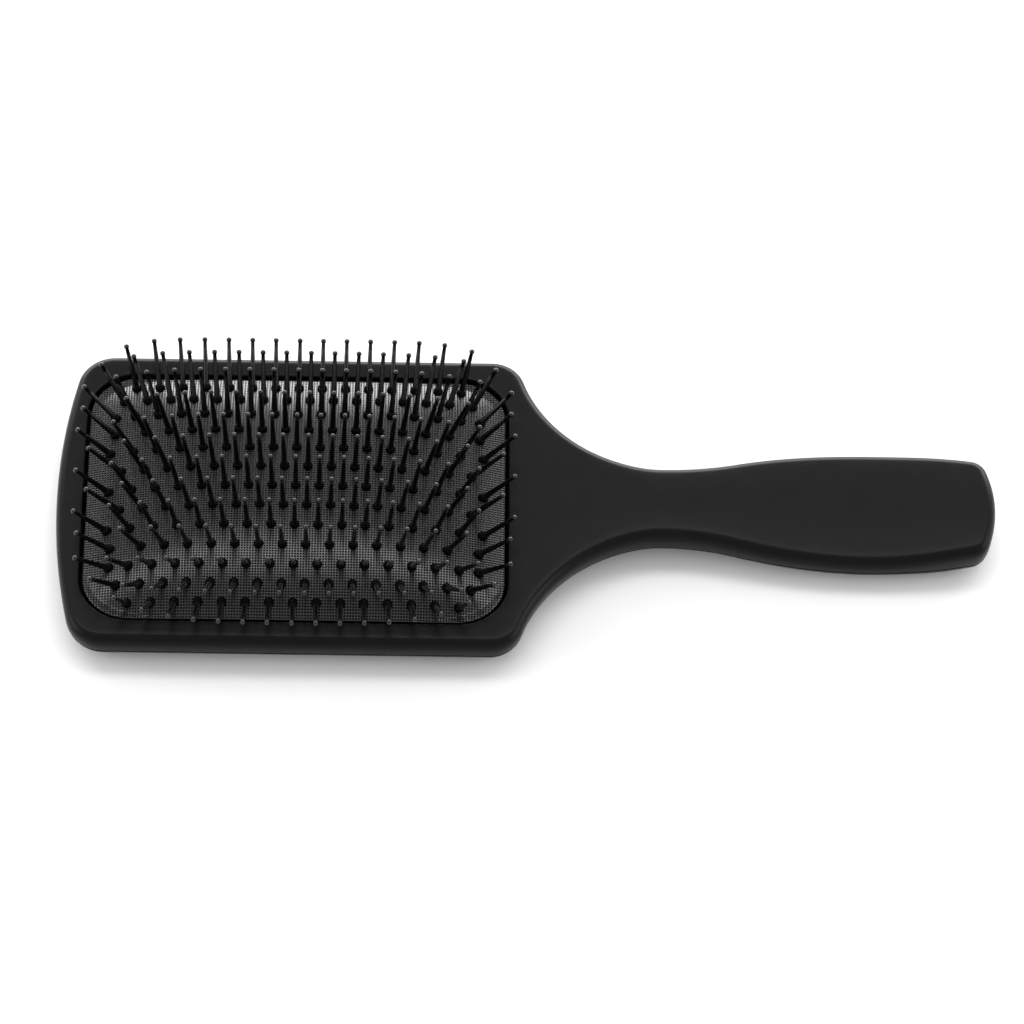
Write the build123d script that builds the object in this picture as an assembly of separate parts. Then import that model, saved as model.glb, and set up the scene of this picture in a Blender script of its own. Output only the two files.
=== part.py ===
"""Paddle hair brush: a flat two-shell body and handle, an air cushion of moulded rubber
held in the head by a clamp frame, and thirteen rows of ball-tipped nylon pins.

Frame: the brush lies on its back. +X runs from the head to the handle's end, +Y across,
+Z up through the pins. The origin is the middle of the underside of the bounding box.
All sizes are in millimetres.
"""
from build123d import *
from math import atan2, copysign, cos, exp, radians, sin, sqrt
import os

# ---- driving dimensions --------------------------------------------------------------
LENGTH = 246.0                 # head end to handle end
HEAD_WIDTH = 90.8
HEAD_END = -62.7               # head's rounded end, from the cushion's middle
HEAD_END_BULGE = 6.0           # how far the end bows out between its corners
HEAD_CORNER_R = 10.0
SHOULDER_R = 9.0
SHOULDER_SWEEP_R = 42.0        # hollow sweep from the head in towards the neck
NECK_CURL_R = 28.0             # tighter hollow that ends the sweep at the neck
NECK_CURL_TURN = 14.0          # degrees turned by that tighter hollow
NECK_R = 80.0                  # hollow curve from the neck out to the grip
NECK_X = 96.0
NECK_WIDTH = 22.2
GRIP_X = 150.0                 # widest place of the handle
GRIP_WIDTH = 35.3
HANDLE_END = HEAD_END + LENGTH
HANDLE_END_BULGE = 3.0
HANDLE_CORNER_R = 6.0
HEAD_CENTRE_X = -(HEAD_END + HANDLE_END) / 2   # cushion's middle, from the brush's middle

HEAD_TOP = 11.8                # height of the rim round the cushion
RAMP_X = 50.0                  # where the top and the back start to leave the head's level
NECK_TOP, NECK_BOTTOM = 12.7, 0.8
GRIP_TOP, GRIP_BOTTOM = 10.7, 0.0
TAIL_TOP, TAIL_BOTTOM = 13.0, 1.7
UPPER_EDGE_R = 2.6             # rounding of the body's upper edge
LOWER_EDGE_R = 4.8             # fuller rounding underneath
PARTING_Z = 6.0                # plane where the two shells meet

OPENING_HALF = (55.6, 38.8)    # half length and half width of the window in the head
OPENING_R = 13.0
CUSHION_GAP = 0.7              # between the window's edge and the cushion's wall
CUSHION_RISE = 5.7             # crown of the cushion above the rim
CUSHION_SINK = 0.7             # edge of the cushion below the rim
MEMBRANE = 1.6                 # rubber thickness
FLANGE_WIDTH = 2.4
FLANGE_THICK = 1.5
LIP_THICK = 2.2                # front shell's lip over the flange
VENT_R = 0.6

BACK_WALL = 2.4
HANDLE_WALL = 3.6
HANDLE_CAVITY_Z = (3.8, 8.6)
RIB_THICK = 1.6
RIB_COUNT = 4
POCKET_CLEARANCE = 0.15

ROW_COUNT = 13
PIN_PITCH = 6.13
ROW_CLOSING = 0.013            # outer rows stand closer together: pitch*k - closing*k^3
ROW_TILTS = (0, 3.2, 5.8, 14.2, 29, 44.4, 56.7)  # sideways lean, middle row to outer row, degrees
ROW_FAN = (1, 1, 1, 1, 1, 0.74, 0.33)        # share of the endwise lean, middle to outer
END_LEAN = 0.63                # sine of the endwise lean of a row's last pin
END_LEAN_FADE = 2.0            # pins over which that lean fades
SIDE_LEAN_LOSS = 0.46          # share of the sideways lean lost at a row's last pin
SIDE_LEAN_FADE = 1.2           # pins over which that loss fades
PIN_HEIGHT = 13.5              # above the membrane
BALL_R = 0.7
SHAFT_R = (0.76, 0.43)         # at the membrane and under the ball
FOOT_R = 1.2
FOOT_THICK = 0.8
FOOT_DEPTH = 2.8               # below the membrane's surface, to the foot's top
PIN_CLEARANCE = 0.12
END_SHIFT_OUT = 2.0            # fourth rows: last pins stand this much further out
END_SHIFT_IN = 1.0             # third rows: last pins stand this much further in
CLAMP_INNER = -0.4             # clamp frame's window, grown from the cushion's plan
SKIN = 0.01                    # keeps the cushion's wall inside the dome surface's edge

CUSHION_HALF = tuple(half - CUSHION_GAP for half in OPENING_HALF)
CUSHION_R = OPENING_R - CUSHION_GAP
DOME_POWERS = (2.7, 2.9)        # how flat the crown is along X and along Y
FLANGE_TOP = HEAD_TOP - LIP_THICK
FLANGE_BOTTOM = FLANGE_TOP - FLANGE_THICK
SIDE_Y = HEAD_WIDTH / 2
TALL = 60.0                    # longer than anything it cuts


# ---- body ----------------------------------------------------------------------------
def body_outline():
    """Face of the whole brush seen from above, drawn about the cushion's middle."""
    end_x = HEAD_END + HEAD_END_BULGE
    neck_y = NECK_WIDTH / 2
    curl = radians(NECK_CURL_TURN)
    curl_start = (NECK_X - NECK_CURL_R * sin(curl), neck_y + NECK_CURL_R * (1 - cos(curl)))
    sweep_x = curl_start[0] + SHOULDER_SWEEP_R * sin(curl)
    sweep_y = curl_start[1] + SHOULDER_SWEEP_R * cos(curl)
    shoulder_x = sweep_x - sqrt(SHOULDER_SWEEP_R ** 2 - (sweep_y - SIDE_Y) ** 2)
    shoulder = (shoulder_x, SIDE_Y)
    turn = 2 * atan2(GRIP_WIDTH / 2 - neck_y, GRIP_X - NECK_X)
    inflexion = (NECK_X + NECK_R * sin(turn), neck_y + NECK_R * (1 - cos(turn)))
    grip_r = (GRIP_X - NECK_X) / sin(turn) - NECK_R
    tail_x = HANDLE_END - HANDLE_END_BULGE
    tail_y = GRIP_WIDTH / 2 - grip_r + sqrt(grip_r ** 2 - (tail_x - GRIP_X) ** 2)
    side = [Line((end_x, SIDE_Y), shoulder),
            RadiusArc(shoulder, curl_start, -SHOULDER_SWEEP_R),
            RadiusArc(curl_start, (NECK_X, neck_y), -NECK_CURL_R),
            RadiusArc((NECK_X, neck_y), inflexion, -NECK_R),
            RadiusArc(inflexion, (tail_x, tail_y), grip_r)]
    end = ThreePointArc((end_x, -SIDE_Y), (HEAD_END, 0), (end_x, SIDE_Y))
    tail = ThreePointArc((tail_x, tail_y), (HANDLE_END, 0), (tail_x, -tail_y))
    face = make_face([end, *side, tail, *(mirror(edge, Plane.XZ) for edge in side)])
    for x, radius in ((end_x, HEAD_CORNER_R), (shoulder_x, SHOULDER_R), (tail_x, HANDLE_CORNER_R)):
        corners = face.vertices().filter_by(lambda corner: abs(corner.X - x) < 0.01)
        face = fillet(corners, radius)
    return face


def side_profile():
    """Face of the brush seen from the side, on the XZ plane: where its top and back run."""
    start, finish = HEAD_END - 5, HANDLE_END + 5
    level = ((1, 0),) * 4
    top = Spline((RAMP_X, HEAD_TOP), (NECK_X, NECK_TOP), (GRIP_X, GRIP_TOP), (finish, TAIL_TOP),
                 tangents=level)
    under = Spline((RAMP_X, 0), (NECK_X, NECK_BOTTOM), (GRIP_X, GRIP_BOTTOM),
                   (finish, TAIL_BOTTOM), tangents=level)
    loop = [Line((start, HEAD_TOP), top @ 0), top, Line(top @ 1, under @ 1), under,
            Line(under @ 0, (start, 0)), Line((start, 0), (start, HEAD_TOP))]
    return Plane.XZ.offset(-TALL) * make_face(loop)


def rounded_body():
    """The whole body before it is split into shells and hollowed."""
    prism = extrude(Pos(0, 0, -TALL / 2) * body_outline(), TALL)
    body = prism & extrude(side_profile(), 2 * TALL)
    for radius, side in ((UPPER_EDGE_R, 1), (LOWER_EDGE_R, -1)):
        walls = body.faces().filter_by(lambda face: abs(face.normal_at().Z) < 0.3)
        rims = walls.edges().filter_by(lambda edge: abs(edge.tangent_at(0.5).Z) < 0.5)
        body = fillet(rims.filter_by(lambda edge: side * (edge.center().Z - PARTING_Z) > 0), radius)
    return body


def rounded_rectangle(grow, z):
    """The cushion's plan, grown all round by `grow`, as a face at height z."""
    length, width = (2 * (half + grow) for half in CUSHION_HALF)
    return Pos(0, 0, z) * RectangleRounded(length, width, CUSHION_R + grow)


def ring(outer, inner, low, high):
    """Rounded frame between two growths of the cushion's plan."""
    return (extrude(rounded_rectangle(outer, low), high - low)
            - extrude(rounded_rectangle(inner, low), high - low))


def handle_cavity():
    """Hollow of the handle, crossed by stiffening ribs."""
    low, high = HANDLE_CAVITY_Z
    inner = offset(body_outline(), -HANDLE_WALL)
    start = OPENING_HALF[0] + 2 * HANDLE_WALL
    hollow = extrude(Pos(0, 0, low) * inner, high - low)
    hollow -= Pos(start - LENGTH, 0, 0) * Box(2 * LENGTH, 2 * TALL, TALL)
    pitch = (HANDLE_END - start) / (RIB_COUNT + 1)
    ribs = [Pos(start + pitch * (i + 1), 0, 0) * Box(RIB_THICK, TALL, TALL) for i in range(RIB_COUNT)]
    return hollow - ribs


def shells():
    """Front and back halves of the body, hollowed for the cushion and along the handle."""
    body = rounded_body() - handle_cavity()
    above = Pos(HANDLE_END / 2, 0, PARTING_Z + TALL / 2) * Box(2 * LENGTH, 2 * TALL, TALL)
    front, back = body & above, body - above
    window = OPENING_HALF[0] - CUSHION_HALF[0]
    front -= extrude(rounded_rectangle(window, PARTING_Z), TALL)
    front -= extrude(rounded_rectangle(FLANGE_WIDTH + POCKET_CLEARANCE, PARTING_Z), FLANGE_TOP - PARTING_Z)
    back -= extrude(rounded_rectangle(0.3, BACK_WALL), PARTING_Z - BACK_WALL)
    return front, back


# ---- cushion -------------------------------------------------------------------------
def dome_height(x, y):
    """Height of the rubber over a point of the head: flat on top, falling fast to its edge."""
    along = abs(x / CUSHION_HALF[0]) ** DOME_POWERS[0]
    across = abs(y / CUSHION_HALF[1]) ** DOME_POWERS[1]
    return HEAD_TOP + CUSHION_RISE - (CUSHION_RISE + CUSHION_SINK) * sqrt(along ** 2 + across ** 2)


def dome_surface(drop):
    """Smooth surface through the dome's heights, lowered by `drop`."""
    steps = (32, 24)
    spans = [[half * (2 * i / n - 1) for i in range(n + 1)] for half, n in zip(CUSHION_HALF, steps)]
    grid = [[Vector(x, y, dome_height(x, y) - drop) for x in spans[0]] for y in spans[1]]
    return Face.make_surface_from_array_of_points(grid)


def under_dome(grow, low, drop):
    """Solid below the dome, over the cushion's plan grown by `grow`, from height low up."""
    block = extrude(rounded_rectangle(grow, low), TALL)
    return split(block, bisect_by=dome_surface(drop), keep=Keep.TOP)


def make_cushion(places):
    """Domed rubber membrane with a clamping flange, a vent and a hole for every pin."""
    dome = under_dome(-SKIN, FLANGE_BOTTOM, 0) + ring(FLANGE_WIDTH, -1, FLANGE_BOTTOM, FLANGE_TOP)
    dome -= under_dome(-MEMBRANE, FLANGE_BOTTOM - 1, MEMBRANE)
    neck_hole = Pos(0, 0, -FOOT_DEPTH - FOOT_THICK) * Cylinder(
        SHAFT_R[0] + PIN_CLEARANCE, PIN_HEIGHT / 2, align=(Align.CENTER, Align.CENTER, Align.MIN))
    holes = [place * neck_hole for place in places]
    vent = Pos(0, PIN_PITCH / 2, HEAD_TOP) * Cylinder(VENT_R, TALL)
    return dome - [*holes, vent]


# ---- pins ----------------------------------------------------------------------------
def row_y(row):
    """Distance of a row from the middle row: the outer rows stand closer together."""
    return PIN_PITCH * row - ROW_CLOSING * row ** 3


def row_columns(row):
    """Places of a row's pins along X. Alternate rows are staggered by half a pitch."""
    ring_row = abs(row)
    if ring_row == 6:
        return [PIN_PITCH * i for i in range(-7, 8)]
    if ring_row % 2:
        columns = [PIN_PITCH * (i + 0.5) for i in range(-8, 8)]
        shift = END_SHIFT_OUT if ring_row == 3 else 0
    else:
        columns = [PIN_PITCH * i for i in range(-8, 9)]
        shift = -END_SHIFT_IN if ring_row == 4 else 0
    return [columns[0] - shift, *columns[1:-1], columns[-1] + shift]


def pin_direction(row, index, count, x):
    """Unit vector along a pin: pins fan out towards the cushion's edges."""
    from_end = min(index, count - 1 - index)
    along = END_LEAN * ROW_FAN[abs(row)] * exp(-from_end / END_LEAN_FADE)
    across = sin(radians(ROW_TILTS[abs(row)])) * (1 - SIDE_LEAN_LOSS * exp(-from_end / SIDE_LEAN_FADE))
    return Vector(copysign(along, x), copysign(across, row), sqrt(1 - along ** 2 - across ** 2))


def pin_places(row):
    """Where a row's pins stand on the dome: planes whose Z runs along each pin."""
    columns = row_columns(row)
    places = []
    for index, x in enumerate(columns):
        base = (x, row_y(row), dome_height(x, row_y(row)))
        places.append(Plane(base, z_dir=pin_direction(row, index, len(columns), x)))
    return places


def make_pin():
    """One pin along +Z: a flat foot under the rubber, a tapering shaft and a ball tip."""
    ball_z = PIN_HEIGHT - BALL_R
    meet_z = ball_z - sqrt(BALL_R ** 2 - SHAFT_R[1] ** 2)
    foot_z = -FOOT_DEPTH - FOOT_THICK
    outline = Polyline((0, foot_z), (FOOT_R, foot_z), (FOOT_R, -FOOT_DEPTH), (SHAFT_R[0], -FOOT_DEPTH),
                       (SHAFT_R[0], 0), (SHAFT_R[1], meet_z))
    tip = ThreePointArc((SHAFT_R[1], meet_z), (BALL_R, ball_z), (0, PIN_HEIGHT))
    half = make_face([outline, tip, Line((0, PIN_HEIGHT), (0, foot_z))])
    return revolve(Plane.XZ * half, Axis.Z)


# ---- the brush -----------------------------------------------------------------------
def write(name, shape):
    """Write one sub-part, moved to its place in the brush, to its own file."""
    export_step(Pos(HEAD_CENTRE_X, 0, 0) * shape, f"parts/{name}.step")


def main():
    os.makedirs("parts", exist_ok=True)
    front, back = shells()
    write("front_shell", front)
    write("back_shell", back)
    write("clamp_frame", ring(FLANGE_WIDTH, CLAMP_INNER, PARTING_Z, FLANGE_BOTTOM))
    middle = ROW_COUNT // 2
    rows = [pin_places(middle - number) for number in range(ROW_COUNT)]
    write("cushion", make_cushion([place for row in rows for place in row]))
    pin = make_pin()
    for number, row in enumerate(rows, 1):
        write(f"pin_row_{number:02d}", Compound(children=[place * pin for place in row]))
    for number in (1, middle + 1):
        heights = [place.origin.Z for place in rows[number - 1]]
        print("row", number, "mean base height", round(sum(heights) / len(heights), 2),
              "y", round(rows[number - 1][0].origin.Y, 2))


main()
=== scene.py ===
"""Looks of a paddle hair brush: satin shells, a waffled rubber cushion and ball-tipped pins.

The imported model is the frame. Sizes are in millimetres about the middle of the cushion, with
+X towards the handle's end and +Z up through the pins; `placed` turns them into the frame's metres.
"""
from math import asin, atan2, copysign, cos, exp, pi, radians, sin, sqrt

import bmesh
import bpy
import numpy as np
from mathutils import Matrix, Vector
from mathutils.geometry import delaunay_2d_cdt


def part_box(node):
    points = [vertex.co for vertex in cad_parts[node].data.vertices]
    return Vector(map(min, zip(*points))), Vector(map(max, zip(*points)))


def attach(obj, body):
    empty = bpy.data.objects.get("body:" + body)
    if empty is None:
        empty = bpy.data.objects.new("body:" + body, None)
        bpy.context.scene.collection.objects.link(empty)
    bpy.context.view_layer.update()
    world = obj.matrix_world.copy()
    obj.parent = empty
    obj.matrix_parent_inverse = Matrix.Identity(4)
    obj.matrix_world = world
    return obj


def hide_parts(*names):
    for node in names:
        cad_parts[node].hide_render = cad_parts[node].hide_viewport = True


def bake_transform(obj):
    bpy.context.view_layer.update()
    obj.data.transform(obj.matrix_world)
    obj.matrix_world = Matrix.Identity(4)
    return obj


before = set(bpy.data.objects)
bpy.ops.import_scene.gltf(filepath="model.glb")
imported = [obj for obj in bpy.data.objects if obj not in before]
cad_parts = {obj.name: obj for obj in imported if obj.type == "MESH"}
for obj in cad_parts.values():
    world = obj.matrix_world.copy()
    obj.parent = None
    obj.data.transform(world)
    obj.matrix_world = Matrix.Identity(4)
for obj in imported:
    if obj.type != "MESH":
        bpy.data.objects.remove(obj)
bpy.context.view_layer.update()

MM = 0.001

# ---- sizes, from the frame and the brush's own driving dimensions --------------------
shell_low, shell_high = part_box("front_shell")
cushion_low, cushion_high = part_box("cushion")
HEAD_CENTRE = (cushion_low.x + cushion_high.x) / 2 / MM
HEAD_END = shell_low.x / MM - HEAD_CENTRE
HANDLE_END = shell_high.x / MM - HEAD_CENTRE
SIDE_Y = shell_high.y / MM
PARTING_Z = shell_low.z / MM

HEAD_END_BULGE = 6.0
HEAD_CORNER_R = 10.0
SHOULDER_R = 9.0
SHOULDER_SWEEP_R = 42.0
NECK_CURL_R = 28.0
NECK_CURL_TURN = radians(14.0)
NECK_R = 80.0
NECK_X = 96.0
NECK_Y = 11.1
GRIP_X = 150.0
GRIP_Y = 17.65
HANDLE_END_BULGE = 3.0
HANDLE_CORNER_R = 5.2
HEAD_TOP = 11.8
RAMP_X = 50.0
TOP_RUN = ((RAMP_X, HEAD_TOP), (NECK_X, 13.3), (GRIP_X, 11.4), (HANDLE_END, 13.7))
UNDER_RUN = ((RAMP_X, 0.0), (NECK_X, 0.8), (GRIP_X, 0.0), (HANDLE_END, 1.6))
CROWN_RUN = ((RAMP_X, 0.0), (NECK_X, 0.6), (GRIP_X, 0.7), (HANDLE_END, 0.7))
EDGE_WIDE = 2.6                # rounding of the upper edge, seen from above
EDGE_DEEP = 2.9                # and seen from the side
HULL_WIDE_RUN = ((GRIP_X, 8.2), (HANDLE_END - 12, 4.7), (HANDLE_END, 4.7))  # boat-shaped underside
SEAM = 0.1                     # bevel of the two shells where they meet

FLANGE_WIDTH = 2.4
CUSHION_HALF = np.array(((cushion_high.x - cushion_low.x) / 2, cushion_high.y)) / MM - FLANGE_WIDTH
CUSHION_R = 12.3
CUSHION_GAP = 0.7
LIP_ROUND = 0.6
FLANGE_TOP = 9.6
FLANGE_BOTTOM = cushion_low.z / MM
CUSHION_RISE = 5.7
CUSHION_SINK = 0.7
DOME_POWERS = (2.7, 2.9)
MEMBRANE = 1.6
EDGE_ROLL = 0.5                # rounding of the rubber's rim
BACK_WALL = 2.4
POCKET = 0.3

WAFFLE_CELL = 0.73
WAFFLE_DEPTH = 0.17
# These two widths also set where the painted shade in the waffle's pits begins: the pits get almost
# no specular.
THREAD_FLAT = 0.09             # half width of a thread's shiny crest
THREAD_FOOT = 0.17             # half width of a thread where its pit begins
BOSS_R = 1.3
BOSS_HIGH = 1.15

PIN_PITCH = 6.13
ROW_COUNT = 13
ROW_CLOSING = 0.013
ROW_TILTS = (0, 3.2, 5.8, 14.2, 29, 44.4, 56.7)
ROW_FAN = (1, 1, 1, 1, 1, 0.74, 0.33)
END_LEAN = 0.63
END_LEAN_FADE = 2.0
SIDE_LEAN_LOSS = 0.46
SIDE_LEAN_FADE = 1.2
END_SHIFT_OUT = 2.0
END_SHIFT_IN = 1.0
PIN_HEIGHT = 13.5
BALL_R = 0.7
SHAFT_R = (0.82, 0.48)
FOOT_R = 1.2
FOOT_THICK = 0.8
FOOT_DEPTH = 2.8

OUTLINE_STEP = 0.7             # spacing of points along the body's outline
FILL_STEP = 1.3                # spacing of points across its flat faces


# ---- mesh helpers --------------------------------------------------------------------
class Skin:
    """A mesh under construction: points in millimetres about the cushion's middle, and faces."""

    def __init__(self):
        self.points = []
        self.faces = []
        self.second = None         # first face with the second material

    def add(self, points):
        """Add points, one row each, and give their numbers."""
        first = sum(len(block) for block in self.points)
        self.points.append(np.asarray(points, float))
        return np.arange(first, first + len(points))

    def loop(self, outline, z):
        """Add a ring of points over an outline, at one height or at a height for each."""
        heights = np.broadcast_to(z, len(outline))
        return self.add(np.column_stack([outline[:, :2], heights]))

    def bridge(self, lower, upper):
        """Quads between two closed rings with the same number of points."""
        after = np.roll(np.arange(len(lower)), -1)
        self.faces += np.column_stack([lower, lower[after], upper[after], upper]).tolist()

    def fill(self, rings, height, step, keep):
        """Close the area between rings with triangles whose corners lie on a surface."""
        known = np.vstack(self.points)
        numbers = np.concatenate(rings)
        outline = known[numbers, :2]
        spread = lattice(outline.min(0), outline.max(0), step)
        spread = spread[keep(spread)]
        near = nearest(spread, outline)
        spread = spread[near > 0.7 * step]
        numbers = np.concatenate([numbers, self.add(np.column_stack([spread, height(spread)]))])
        corners = [Vector(p) for p in np.vstack([outline, spread])]
        edges, first = [], 0
        for ring in rings:
            edges += [(first + i, first + (i + 1) % len(ring)) for i in range(len(ring))]
            first += len(ring)
        made, _, triangles, origin, _, _ = delaunay_2d_cdt(corners, edges, [], 0, 1e-5)
        flat = np.array(made)
        triangles = np.array(triangles)
        triangles = triangles[keep(flat[triangles].mean(1))]
        back = np.array([numbers[source[0]] for source in origin])
        self.faces += back[triangles].tolist()

    def piece(self, name, *materials):
        """Make the Blender object, with outward normals and smooth shading."""
        mesh = bpy.data.meshes.new(name)
        mesh.from_pydata((placed(np.vstack(self.points))).tolist(), [], self.faces)
        for finish in materials:
            mesh.materials.append(finish)
        if self.second is not None:
            turns = np.arange(len(self.faces)) >= self.second
            mesh.polygons.foreach_set("material_index", turns.astype(np.int32))
        mesh.validate()
        tidy_normals(mesh)
        mesh.shade_smooth()
        made = bpy.data.objects.new(name, mesh)
        bpy.context.scene.collection.objects.link(made)
        return made


def placed(points):
    """Millimetres about the cushion's middle to metres in the frame."""
    return (points + np.array((HEAD_CENTRE, 0, 0))) * MM


def tidy_normals(mesh):
    """Turn every face outwards."""
    work = bmesh.new()
    work.from_mesh(mesh)
    bmesh.ops.recalc_face_normals(work, faces=work.faces)
    work.to_mesh(mesh)
    work.free()


def lattice(low, high, step):
    """Points of a triangular lattice over a rectangle."""
    columns = np.arange(low[0], high[0], step)
    rows = np.arange(low[1], high[1], step * sqrt(3) / 2)
    x, y = np.meshgrid(columns, rows)
    x = x + (np.arange(len(rows)) % 2)[:, None] * step / 2
    return np.column_stack([x.ravel(), y.ravel()])


def nearest(points, outline):
    """Distance from each point to the closest point of an outline."""
    gaps = [np.hypot(*(block[:, None] - outline[None]).transpose(2, 0, 1)).min(1)
            for block in np.array_split(points, 1 + len(points) // 500)]
    return np.concatenate(gaps)


def inside(points, outline):
    """True for points inside a closed outline."""
    x, y = points.T
    result = np.zeros(len(points), bool)
    for (x0, y0), (x1, y1) in zip(outline[:, :2], np.roll(outline[:, :2], -1, 0)):
        if y0 != y1:
            crosses = (y0 > y) != (y1 > y)
            result ^= crosses & (x < x0 + (y - y0) * (x1 - x0) / (y1 - y0))
    return result


def arc(centre, radius, start, end, hollow=False):
    """Points along an arc with their inward normals, without the last one."""
    count = max(2, round(abs(end - start) * radius / OUTLINE_STEP))
    angles = np.linspace(start, end, count + 1)[:-1]
    ray = np.column_stack([np.cos(angles), np.sin(angles)])
    return np.hstack([np.array(centre) + radius * ray, ray if hollow else -ray])


def line(start, end, inward):
    """Points along a straight side with their inward normal, without the last one."""
    start, end = np.array(start, float), np.array(end, float)
    count = max(1, round(np.hypot(*(end - start)) / OUTLINE_STEP))
    share = np.arange(count)[:, None] / count
    return np.hstack([start + share * (end - start), np.tile(inward, (count, 1))])


def run(x, knots):
    """A value that changes smoothly along X from knot to knot."""
    places, values = np.array(knots).T
    x = np.clip(x, places[0], places[-1])
    i = np.clip(np.searchsorted(places, x, side="right") - 1, 0, len(places) - 2)
    t = (x - places[i]) / (places[i + 1] - places[i])
    return values[i] + (values[i + 1] - values[i]) * t * t * (3 - 2 * t)


# ---- outlines ------------------------------------------------------------------------
def body_outline():
    """The brush seen from above: points and inward normals, all the way round."""
    end_r = (SIDE_Y ** 2 + HEAD_END_BULGE ** 2) / (2 * HEAD_END_BULGE)
    end_x = HEAD_END + end_r
    corner_y = SIDE_Y - HEAD_CORNER_R
    corner_x = end_x - sqrt((end_r - HEAD_CORNER_R) ** 2 - corner_y ** 2)
    corner_turn = atan2(corner_y, corner_x - end_x)

    extra = SHOULDER_SWEEP_R - NECK_CURL_R
    sweep = (NECK_X + extra * sin(NECK_CURL_TURN),
             NECK_Y + NECK_CURL_R + extra * cos(NECK_CURL_TURN))
    shoulder_y = SIDE_Y - SHOULDER_R
    reach = SHOULDER_SWEEP_R + SHOULDER_R
    shoulder_x = sweep[0] - sqrt(reach ** 2 - (sweep[1] - shoulder_y) ** 2)
    shoulder_turn = atan2(sweep[1] - shoulder_y, sweep[0] - shoulder_x)

    grip_turn = 2 * atan2(GRIP_Y - NECK_Y, GRIP_X - NECK_X)
    grip_r = (GRIP_X - NECK_X) / sin(grip_turn) - NECK_R
    grip_centre = np.array((GRIP_X, GRIP_Y - grip_r))
    tail_x = HANDLE_END - HANDLE_END_BULGE
    tail_y = grip_centre[1] + sqrt(grip_r ** 2 - (tail_x - GRIP_X) ** 2)
    tail_r = (tail_y ** 2 + HANDLE_END_BULGE ** 2) / (2 * HANDLE_END_BULGE)
    tail_centre = np.array((HANDLE_END - tail_r, 0.0))
    tip = circles_meet(grip_centre, grip_r - HANDLE_CORNER_R, tail_centre, tail_r - HANDLE_CORNER_R)
    tip_start = atan2(*(tip - grip_centre)[::-1])
    tip_end = atan2(*(tip - tail_centre)[::-1])

    low = 1.5 * pi
    half = np.vstack([
        arc((end_x, 0), end_r, pi, corner_turn),
        arc((corner_x, corner_y), HEAD_CORNER_R, corner_turn, pi / 2),
        line((corner_x, SIDE_Y), (shoulder_x, SIDE_Y), (0, -1)),
        arc((shoulder_x, shoulder_y), SHOULDER_R, pi / 2, shoulder_turn),
        arc(sweep, SHOULDER_SWEEP_R, shoulder_turn + pi, low - NECK_CURL_TURN, hollow=True),
        arc((NECK_X, NECK_Y + NECK_CURL_R), NECK_CURL_R, low - NECK_CURL_TURN, low, hollow=True),
        arc((NECK_X, NECK_Y + NECK_R), NECK_R, low, low + grip_turn, hollow=True),
        arc(grip_centre, grip_r, pi / 2 + grip_turn, tip_start),
        arc(tip, HANDLE_CORNER_R, tip_start, tip_end),
        arc(tail_centre, tail_r, tip_end, 0),
    ])
    end = np.array([[HANDLE_END, 0, -1, 0]])
    return np.vstack([half, end, half[:0:-1] * (1, -1, 1, -1)])


def circles_meet(first, first_r, second, second_r):
    """The upper of the two points where two circles cross."""
    apart = second - first
    distance = np.hypot(*apart)
    along = (first_r ** 2 - second_r ** 2 + distance ** 2) / (2 * distance)
    aside = sqrt(first_r ** 2 - along ** 2)
    middle = first + apart * along / distance
    across = np.array((-apart[1], apart[0])) / distance
    return max(middle + aside * across, middle - aside * across, key=lambda point: point[1])


def cushion_outline(grow):
    """The cushion's rounded rectangle, grown all round, with outward normals made inward."""
    half = CUSHION_HALF + grow
    radius = CUSHION_R + grow
    cx, cy = half - radius
    return np.vstack([
        line((-half[0], -cy), (-half[0], cy), (1, 0)),
        arc((-cx, cy), radius, pi, pi / 2),
        line((-cx, half[1]), (cx, half[1]), (0, -1)),
        arc((cx, cy), radius, pi / 2, 0),
        line((half[0], cy), (half[0], -cy), (-1, 0)),
        arc((cx, -cy), radius, 0, -pi / 2),
        line((cx, -half[1]), (-cx, -half[1]), (0, 1)),
        arc((-cx, -cy), radius, -pi / 2, -pi),
    ])


def pushed(outline, distance):
    """An outline moved inwards; a negative distance moves it outwards."""
    moved = outline.copy()
    moved[:, :2] += outline[:, 2:] * np.broadcast_to(distance, len(outline))[:, None]
    return moved


# ---- heights -------------------------------------------------------------------------
OUTLINE = body_outline()
UPPER = OUTLINE[(OUTLINE[:, 1] > NECK_Y - 1) & (OUTLINE[:, 0] < HANDLE_END - 8)]


def top_height(points):
    """The body's upper face: level round the cushion, crowned across the neck and handle."""
    x, y = points[:, 0], points[:, 1]
    half = np.interp(x, UPPER[:, 0], UPPER[:, 1])
    return run(x, TOP_RUN) - run(x, CROWN_RUN) * (y / half) ** 2


def under_height(points):
    """The body's back."""
    return run(points[:, 0], UNDER_RUN)


def dome_height(points):
    """The rubber: flat on top, falling fast to its edge."""
    along = np.abs(points[:, 0] / CUSHION_HALF[0]) ** DOME_POWERS[0]
    across = np.abs(points[:, 1] / CUSHION_HALF[1]) ** DOME_POWERS[1]
    fall = (CUSHION_RISE + CUSHION_SINK) * np.hypot(along, across)
    return HEAD_TOP + CUSHION_RISE - np.minimum(fall, CUSHION_RISE + CUSHION_SINK)


# ---- body ----------------------------------------------------------------------------
def hull_ring(share):
    """Ring of the boat-shaped underside: -1 is its foot, 0 the parting line, 1 the widest line."""
    low = under_height(OUTLINE)
    deep = top_height(OUTLINE) - EDGE_DEEP - low
    parting = np.arccos(1 - (PARTING_Z - low) / deep)
    turn = parting * (1 + share) if share < 0 else parting + (pi / 2 - parting) * share
    outline = pushed(OUTLINE, run(OUTLINE[:, 0], HULL_WIDE_RUN) * (1 - np.sin(turn)))
    return outline, low + deep * (1 - np.cos(turn))


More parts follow.
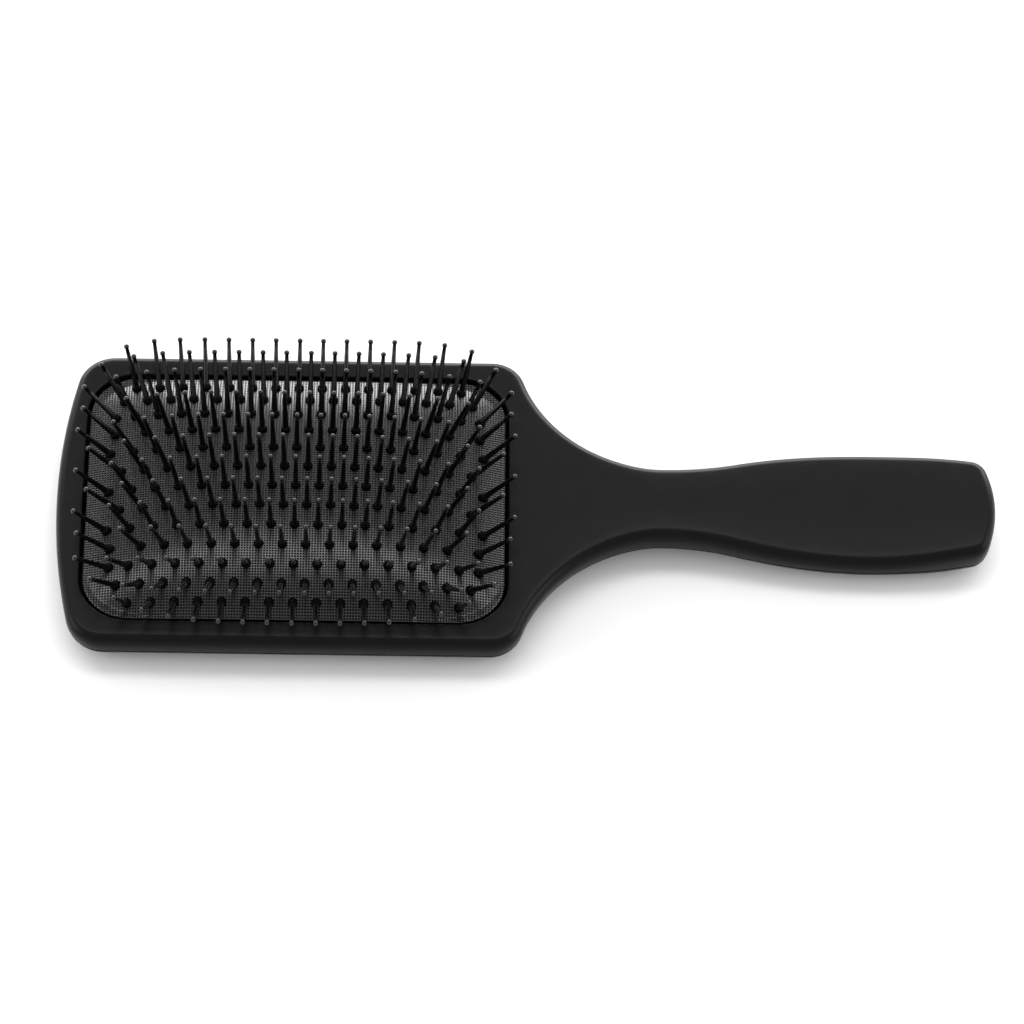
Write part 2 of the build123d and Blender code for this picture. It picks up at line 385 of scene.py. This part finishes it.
def seam_ring(skin):
    """The parting line's inner ring, set back by the bevel."""
    return skin.loop(pushed(hull_ring(0)[0], SEAM), PARTING_Z)


def edge_rings(skin, count=8):
    """Rings that turn from the widest line over the upper edge onto the top."""
    rings = []
    for i in range(1, count + 1):
        turn = pi / 2 * i / count
        outline = pushed(OUTLINE, EDGE_WIDE * (1 - cos(turn)))
        rings.append(skin.loop(outline, top_height(outline) - EDGE_DEEP * (1 - sin(turn))))
    return rings


def make_front(material):
    """Front shell: rim, shoulders and upper half of the handle, with the lip round the rubber."""
    skin = Skin()
    start = seam_ring(skin)
    outline, heights = hull_ring(0)
    rings = [start, skin.loop(outline, heights + SEAM)]
    rings += [skin.loop(*hull_ring(share)) for share in (0.2, 0.4, 0.6, 0.8, 1)]
    rings += edge_rings(skin)
    window = cushion_outline(CUSHION_GAP)
    lip = []
    for i in range(5):
        turn = pi / 2 * i / 4
        outline = pushed(window, -LIP_ROUND * (1 - sin(turn)))
        lip.append(skin.loop(outline, HEAD_TOP - LIP_ROUND * (1 - cos(turn))))
    lip.append(skin.loop(window, FLANGE_TOP))
    pocket = pushed(window, -(FLANGE_WIDTH - CUSHION_GAP + POCKET))
    lip += [skin.loop(pocket, FLANGE_TOP), skin.loop(pocket, PARTING_Z)]
    for first, second in zip(rings, rings[1:]):
        skin.bridge(first, second)
    for first, second in zip(lip, lip[1:]):
        skin.bridge(first, second)
    close(skin, rings[-1], lip[0], top_height)
    close(skin, start, lip[-1], lambda points: np.full(len(points), PARTING_Z))
    return skin.piece("shell_front", material)


def close(skin, outer, hole, height):
    """Fill the face between an outer ring and an optional hole."""
    known = np.vstack(skin.points)
    edge = known[outer, :2]
    gap = known[hole, :2] if hole is not None else None

    def keep(points):
        within = inside(points, edge)
        return within if gap is None else within & ~inside(points, gap)

    skin.fill([outer] if hole is None else [outer, hole], height, FILL_STEP, keep)


def make_back(material):
    """Back shell: the closed back, with the air chamber's well under the rubber."""
    skin = Skin()
    start = seam_ring(skin)
    outline, heights = hull_ring(0)
    rings = [start, skin.loop(outline, heights - SEAM)]
    rings += [skin.loop(*hull_ring(-i / 8)) for i in range(1, 9)]
    for first, second in zip(rings, rings[1:]):
        skin.bridge(first, second)
    well = cushion_outline(POCKET)
    brim, floor = skin.loop(well, PARTING_Z), skin.loop(well, BACK_WALL)
    skin.bridge(brim, floor)
    close(skin, rings[-1], None, under_height)
    close(skin, start, brim, lambda points: np.full(len(points), PARTING_Z))
    close(skin, floor, None, lambda points: np.full(len(points), BACK_WALL))
    return skin.piece("shell_back", material)


# ---- pins' places --------------------------------------------------------------------
def row_columns(row):
    """Places of a row's pins along X. Alternate rows are staggered by half a pitch."""
    ring_row = abs(row)
    if ring_row == 6:
        return [PIN_PITCH * i for i in range(-7, 8)]
    if ring_row % 2:
        columns = [PIN_PITCH * (i + 0.5) for i in range(-8, 8)]
        shift = END_SHIFT_OUT if ring_row == 3 else 0
    else:
        columns = [PIN_PITCH * i for i in range(-8, 9)]
        shift = -END_SHIFT_IN if ring_row == 4 else 0
    return [columns[0] - shift, *columns[1:-1], columns[-1] + shift]


def pin_places(row):
    """Each pin's foot on the dome and its direction, along one row."""
    columns = row_columns(row)
    y = PIN_PITCH * row - ROW_CLOSING * row ** 3
    places = []
    for index, x in enumerate(columns):
        from_end = min(index, len(columns) - 1 - index)
        along = END_LEAN * ROW_FAN[abs(row)] * exp(-from_end / END_LEAN_FADE)
        loss = SIDE_LEAN_LOSS * exp(-from_end / SIDE_LEAN_FADE)
        across = sin(radians(ROW_TILTS[abs(row)])) * (1 - loss)
        upright = sqrt(1 - along ** 2 - across ** 2)
        lean = Vector((copysign(along, x), copysign(across, row), upright))
        z = dome_height(np.array([[x, y]]))[0]
        places.append((Vector((x, y, z)), lean))
    return places


PIN_ROWS = [pin_places(ROW_COUNT // 2 - number) for number in range(ROW_COUNT)]


# ---- turned shapes -------------------------------------------------------------------
def turned(skin, place, profile, segments):
    """Add a closed turned shape: profile rows are (radius, height) from its base to its tip."""
    origin, direction = place
    turn = direction.to_track_quat("Z", "X").to_matrix()
    angles = 2 * pi * np.arange(segments) / segments
    circle = np.column_stack([np.cos(angles), np.sin(angles)])
    rings = []
    for radius, height in profile:
        local = np.column_stack([circle * radius, np.full(segments, height)])
        rings.append(skin.add(local @ np.array(turn).T + np.array(origin)))
    for first, second in zip(rings, rings[1:]):
        skin.bridge(first, second)
    ends = [origin + direction * profile[0][1], origin + direction * profile[-1][1]]
    centres = skin.add([tuple(end) for end in ends])
    for ring, centre in ((rings[0], centres[0]), (rings[-1], centres[1])):
        after = np.roll(ring, -1)
        skin.faces += [[int(a), int(b), int(centre)] for a, b in zip(ring, after)]


def pin_profile():
    """Foot, tapering shaft and ball tip."""
    foot_top = -FOOT_DEPTH
    foot_low = foot_top - FOOT_THICK
    ball_z = PIN_HEIGHT - BALL_R
    meet = asin(SHAFT_R[1] / BALL_R)
    rows = [(FOOT_R * 0.85, foot_low), (FOOT_R, foot_low + 0.15), (FOOT_R, foot_top - 0.15),
            (FOOT_R * 0.85, foot_top), (SHAFT_R[0], foot_top + 0.1)]
    shaft_end = ball_z - BALL_R * cos(meet)
    for i in range(7):
        share = i / 6
        rows.append((SHAFT_R[0] + (SHAFT_R[1] - SHAFT_R[0]) * share, shaft_end * share))
    for i in range(1, 11):
        angle = pi - meet - (pi - meet) * i / 11
        rows.append((BALL_R * sin(angle), ball_z + BALL_R * cos(angle)))
    rows.append((BALL_R * 0.08, PIN_HEIGHT))
    return rows


def boss_profile():
    """Rubber boss that grips a pin's neck: a low dome that meets the shaft."""
    rows = [(BOSS_R + 0.1, -0.5), (BOSS_R, 0.0)]
    for i in range(1, 6):
        turn = pi / 2 * i / 5
        rows.append((SHAFT_R[0] + (BOSS_R - SHAFT_R[0]) * cos(turn), BOSS_HIGH * sin(turn)))
    return rows


def make_pins(number, material):
    """All the pins of one row, as one piece."""
    skin = Skin()
    profile = pin_profile()
    for place in PIN_ROWS[number - 1]:
        turned(skin, place, profile, 20)
    return skin.piece(f"pins_{number:02d}", material)


# ---- cushion -------------------------------------------------------------------------
def waffle(skin):
    """Lattice of raised threads with a pit in every cell; gives the ring it ends at."""
    half_cell = WAFFLE_CELL / 2
    counts = [2 * int(half / WAFFLE_CELL) for half in CUSHION_HALF]
    i, j = (np.arange(-n, n + 1) for n in counts)
    grid_i, grid_j = np.meshgrid(i, j)
    flat = np.column_stack([grid_i.ravel(), grid_j.ravel()]) * half_cell
    edge = pushed(cushion_outline(0), EDGE_ROLL)
    room = inside(flat, pushed(edge, 0.15)).reshape(grid_i.shape)
    whole = room[:-1, :-1] & room[1:, :-1] & room[:-1, 1:] & room[1:, 1:]
    used = np.zeros_like(room)
    for down, right in ((0, 0), (1, 0), (0, 1), (1, 1)):
        used[down:down + whole.shape[0], right:right + whole.shape[1]] |= whole
    pit = ((grid_i % 2 == 1) & (grid_j % 2 == 1)).ravel()
    heights = dome_height(flat) - WAFFLE_DEPTH * pit
    numbers = np.full(grid_i.size, -1)
    chosen = used.ravel()
    numbers[chosen] = skin.add(np.column_stack([flat, heights])[chosen])
    numbers = numbers.reshape(grid_i.shape)
    rows, columns = np.nonzero(whole)
    quads = np.column_stack([numbers[rows, columns], numbers[rows, columns + 1],
                             numbers[rows + 1, columns + 1], numbers[rows + 1, columns]])
    skin.faces += quads.tolist()
    return edge, quads, whole, counts


def border(skin, ring, quads, whole, counts):
    """Triangles between the lattice's stepped border and the rubber's smooth rim."""
    known = np.vstack(skin.points)
    sides = np.vstack([quads[:, [a, b]] for a, b in ((0, 1), (1, 2), (2, 3), (3, 0))])
    unique, times = np.unique(np.sort(sides, 1), axis=0, return_counts=True)
    open_sides = unique[times == 1]
    stepped = np.unique(open_sides)
    numbers = np.concatenate([ring, stepped])
    spot = {number: index for index, number in enumerate(numbers.tolist())}
    edges = [(i, (i + 1) % len(ring)) for i in range(len(ring))]
    edges += [(spot[a], spot[b]) for a, b in open_sides.tolist()]
    corners = [Vector(point) for point in known[numbers, :2]]
    made, _, triangles, origin, _, _ = delaunay_2d_cdt(corners, edges, [], 0, 1e-5)
    flat, triangles = np.array(made), np.array(triangles)
    middle = flat[triangles].mean(1)
    cell = np.floor(middle / (WAFFLE_CELL / 2)).astype(int) + np.array(counts)
    limit = np.array(whole.shape[::-1]) - 1
    inside_grid = ((cell >= 0) & (cell <= limit)).all(1)
    cell = np.clip(cell, 0, limit)
    covered = inside_grid & whole[cell[:, 1], cell[:, 0]]
    keep = ~covered & inside(middle, known[ring, :2])
    back = np.array([numbers[source[0]] for source in origin])
    skin.faces += back[triangles[keep]].tolist()


def make_cushion(material, boss_material):
    """Domed rubber with its waffle, rolled rim, clamped flange, smooth underside and bosses."""
    skin = Skin()
    edge, quads, whole, counts = waffle(skin)
    rim = skin.loop(edge, dome_height(edge))
    border(skin, rim, quads, whole, counts)
    plan = cushion_outline(0)
    rings = [rim]
    for i in range(1, 4):
        turn = pi / 2 * i / 3
        outline = pushed(plan, EDGE_ROLL * (1 - sin(turn)))
        drop = EDGE_ROLL * (1 - cos(turn))
        rings.append(skin.loop(outline, dome_height(edge) - drop))
    rings.append(skin.loop(plan, FLANGE_TOP))
    flange = pushed(plan, -FLANGE_WIDTH)
    rings += [skin.loop(flange, FLANGE_TOP), skin.loop(flange, FLANGE_BOTTOM)]
    under = pushed(plan, MEMBRANE)
    rings += [skin.loop(under, FLANGE_BOTTOM), skin.loop(under, dome_height(under) - MEMBRANE)]
    for first, second in zip(rings, rings[1:]):
        skin.bridge(first, second)
    close(skin, rings[-1], None, lambda points: dome_height(points) - MEMBRANE)
    skin.second = len(skin.faces)
    profile = boss_profile()
    for row in PIN_ROWS:
        for place in row:
            turned(skin, place, profile, 20)
    return skin.piece("rubber_cushion", material, boss_material)


# ---- materials -----------------------------------------------------------------------
def material(name, grey, roughness, **sockets):
    """A grey Principled material; gives it with its node tree and shader."""
    made = bpy.data.materials.new(name)
    made.use_nodes = True
    shader = made.node_tree.nodes["Principled BSDF"]
    shader.inputs["Base Color"].default_value = (grey, grey, grey, 1)
    shader.inputs["Roughness"].default_value = roughness
    for socket, value in sockets.items():
        shader.inputs[socket.replace("_", " ")].default_value = value
    return made, made.node_tree, shader


def noise(tree, scale, detail=3.0):
    """Noise over the object's own coordinates, in metres."""
    place = tree.nodes.new("ShaderNodeTexCoord")
    texture = tree.nodes.new("ShaderNodeTexNoise")
    texture.inputs["Scale"].default_value = scale
    texture.inputs["Detail"].default_value = detail
    tree.links.new(place.outputs["Object"], texture.inputs["Vector"])
    return texture.outputs["Fac"]


def spread(tree, source, low, high):
    """Map a 0 to 1 signal to a range."""
    node = tree.nodes.new("ShaderNodeMapRange")
    node.inputs["From Min"].default_value = 0.3
    node.inputs["From Max"].default_value = 0.7
    node.inputs["To Min"].default_value = low
    node.inputs["To Max"].default_value = high
    tree.links.new(source, node.inputs["Value"])
    return node.outputs["Result"]


def tint(tree, source, shader, dark, light):
    """Colour that varies gently between two greys."""
    ramp = tree.nodes.new("ShaderNodeValToRGB")
    ramp.color_ramp.elements[0].position = 0.3
    ramp.color_ramp.elements[1].position = 0.7
    ramp.color_ramp.elements[0].color = (dark, dark, dark, 1)
    ramp.color_ramp.elements[1].color = (light, light, light, 1)
    tree.links.new(source, ramp.inputs["Fac"])
    tree.links.new(ramp.outputs["Color"], shader.inputs["Base Color"])


def bump(tree, source, shader, distance, strength=1.0):
    """Fine relief, its depth in metres."""
    node = tree.nodes.new("ShaderNodeBump")
    node.inputs["Distance"].default_value = distance
    node.inputs["Strength"].default_value = strength
    tree.links.new(source, node.inputs["Height"])
    tree.links.new(node.outputs["Normal"], shader.inputs["Normal"])


def soft_touch():
    """Satin black soft-touch coating with a fine moulded grain."""
    made, tree, shader = material("soft_touch_black", 0.002, 0.34, Specular_IOR_Level=0.13)
    tint(tree, noise(tree, 60), shader, 0.0015, 0.0020)
    tree.links.new(spread(tree, noise(tree, 180), 0.32, 0.35), shader.inputs["Roughness"])
    bump(tree, noise(tree, 4200, 2), shader, 0.00002, 0.35)
    return made


def frame_plastic():
    """Moulded black plastic of the hidden clamp frame."""
    made, tree, shader = material("frame_black", 0.03, 0.6)
    tint(tree, noise(tree, 90), shader, 0.026, 0.034)
    bump(tree, noise(tree, 2500, 2), shader, 0.00003, 0.4)
    return made


def arithmetic(tree, operation, first, second):
    """One arithmetic node; an input may be a socket or a number."""
    node = tree.nodes.new("ShaderNodeMath")
    node.operation = operation
    for socket, value in zip(node.inputs, (first, second)):
        if isinstance(value, (int, float)):
            socket.default_value = value
        else:
            tree.links.new(value, socket)
    return node.outputs["Value"]


def thread_mask(tree):
    """1 on the waffle's raised threads and 0 in its pits, in step with the mesh; it drives the
    relief and the painted shade in the pits.
    """
    place = tree.nodes.new("ShaderNodeTexCoord")
    parts = tree.nodes.new("ShaderNodeSeparateXYZ")
    tree.links.new(place.outputs["Object"], parts.inputs["Vector"])
    half_cell = WAFFLE_CELL / 2 * MM
    x = arithmetic(tree, "SUBTRACT", parts.outputs["X"], HEAD_CENTRE * MM)
    along = arithmetic(tree, "PINGPONG", x, half_cell)
    across = arithmetic(tree, "PINGPONG", parts.outputs["Y"], half_cell)
    node = tree.nodes.new("ShaderNodeMapRange")
    node.inputs["From Min"].default_value = THREAD_FLAT * MM
    node.inputs["From Max"].default_value = THREAD_FOOT * MM
    node.inputs["To Min"].default_value = 1.0
    node.inputs["To Max"].default_value = 0.0
    tree.links.new(arithmetic(tree, "MINIMUM", along, across), node.inputs["Value"])
    return node.outputs["Result"]


def waffled_rubber():
    """Black rubber with a waffle relief; its pits get painted shade from near-zero specular, while
    the raised threads keep their specular.
    """
    made, tree, shader = material("rubber_black", 0.006, 0.3)
    tint(tree, noise(tree, 120), shader, 0.0012, 0.0022)
    tree.links.new(spread(tree, noise(tree, 400), 0.2, 0.28), shader.inputs["Roughness"])
    threads = thread_mask(tree)
    # painted shade: pit specular 0.02 against 0.72 on the crests darkens the pits where shade would
    # fall
    crest, pit = 0.72, 0.02
    specular_with_painted_pit_shade = arithmetic(tree, "ADD", arithmetic(tree, "MULTIPLY", threads, crest - pit), pit)
    tree.links.new(specular_with_painted_pit_shade, shader.inputs["Specular IOR Level"])
    bump(tree, threads, shader, 0.00006, 0.6)
    return made


def smooth_rubber():
    """The same rubber, smooth and dull, on the bosses round the pins."""
    made, tree, shader = material("rubber_smooth", 0.002, 0.45, Specular_IOR_Level=0.05)
    tint(tree, noise(tree, 200), shader, 0.001, 0.002)
    bump(tree, noise(tree, 6000, 2), shader, 0.00001, 0.3)
    return made


def nylon():
    """Glossy black nylon."""
    made, tree, shader = material("nylon_black", 0.002, 0.08, Specular_IOR_Level=0.45)
    tint(tree, noise(tree, 300), shader, 0.001, 0.002)
    tree.links.new(spread(tree, noise(tree, 700), 0.07, 0.12), shader.inputs["Roughness"])
    bump(tree, noise(tree, 2600, 2), shader, 0.00001, 0.15)
    return made


# ---- the brush -----------------------------------------------------------------------
body_finish, frame_finish, rubber_finish = soft_touch(), frame_plastic(), waffled_rubber()
boss_finish, pin_finish = smooth_rubber(), nylon()

for make, node in ((make_front, "front_shell"), (make_back, "back_shell")):
    piece = make(body_finish)
    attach(piece, "body")
    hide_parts(node)

cushion = make_cushion(rubber_finish, boss_finish)
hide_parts("cushion")
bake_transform(cushion)

for number in range(1, ROW_COUNT + 1):
    pins = make_pins(number, pin_finish)
    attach(pins, f"pin_row_{number:02d}")
    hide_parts(f"pin_row_{number:02d}")

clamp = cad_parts["clamp_frame"]
clamp.data.materials.clear()
clamp.data.materials.append(frame_finish)

# ---- stage ---------------------------------------------------------------------------
FLOOR_HALF = 4.0               # metres
SKY_STRENGTH = 0.78
floor_mesh = bpy.data.meshes.new("floor")
floor_corners = [(x, y, 0) for x, y in ((-FLOOR_HALF, -FLOOR_HALF), (FLOOR_HALF, -FLOOR_HALF),
                                        (FLOOR_HALF, FLOOR_HALF), (-FLOOR_HALF, FLOOR_HALF))]
floor_mesh.from_pydata(floor_corners, [], [(0, 1, 2, 3)])
floor = bpy.data.objects.new("floor", floor_mesh)
bpy.context.scene.collection.objects.link(floor)
floor_mesh.materials.append(material("floor_white", 0.9, 0.9)[0])


def area(name, azimuth, elevation, distance, size, power):
    """Soft box aimed at the brush from a distance in metres; its size is width by height.

    Azimuth 0 is behind the brush and 90 is past the handle's end; power is in watts.
    """
    light = bpy.data.lights.new(name, "AREA")
    light.shape = "RECTANGLE"
    light.size, light.size_y = size
    light.energy = power
    made = bpy.data.objects.new(name, light)
    bpy.context.scene.collection.objects.link(made)
    a, e = radians(azimuth), radians(elevation)
    out = Vector((sin(a) * cos(e), cos(a) * cos(e), sin(e)))
    made.location = out * distance
    made.rotation_euler = out.to_track_quat("Z", "Y").to_euler()
    return made


area("overhead", 0, 74, 1.1, (1.5, 0.3), 5)
area("back", 0, 14, 1.6, (3.0, 0.68), 56)
area("left", -92, 22, 1.4, (0.9, 0.6), 5)
area("right", 92, 22, 1.4, (0.9, 0.6), 5)

world = bpy.data.worlds.new("studio")
bpy.context.scene.world = world
world.use_nodes = True
sky = world.node_tree.nodes["Background"]
sky.inputs["Color"].default_value = (1, 1, 1, 1)
sky.inputs["Strength"].default_value = SKY_STRENGTH
bpy.context.scene.view_settings.view_transform = "Standard"

# ---- camera --------------------------------------------------------------------------
CAMERA_ELEVATION = radians(55.69)
CAMERA_AZIMUTH = radians(-1.27)
CAMERA_ROLL = radians(1.88)
CAMERA_DISTANCE = 1.57
CAMERA_TARGET = Vector((-0.00364, 0.00029, 0.006))
CAMERA_LENS = 210.12

back = Vector((sin(CAMERA_AZIMUTH) * cos(CAMERA_ELEVATION),
               -cos(CAMERA_AZIMUTH) * cos(CAMERA_ELEVATION),
               sin(CAMERA_ELEVATION)))
right = Vector((0, 0, 1)).cross(back).normalized()
level = Matrix((right, back.cross(right), back)).transposed()
camera_data = bpy.data.cameras.new("camera")
camera_data.lens = CAMERA_LENS
camera_data.sensor_width = 36
camera = bpy.data.objects.new("camera", camera_data)
camera.location = CAMERA_TARGET + back * CAMERA_DISTANCE
camera.rotation_euler = (level @ Matrix.Rotation(CAMERA_ROLL, 3, "Z")).to_euler()
bpy.context.scene.collection.objects.link(camera)
bpy.context.scene.camera = camera
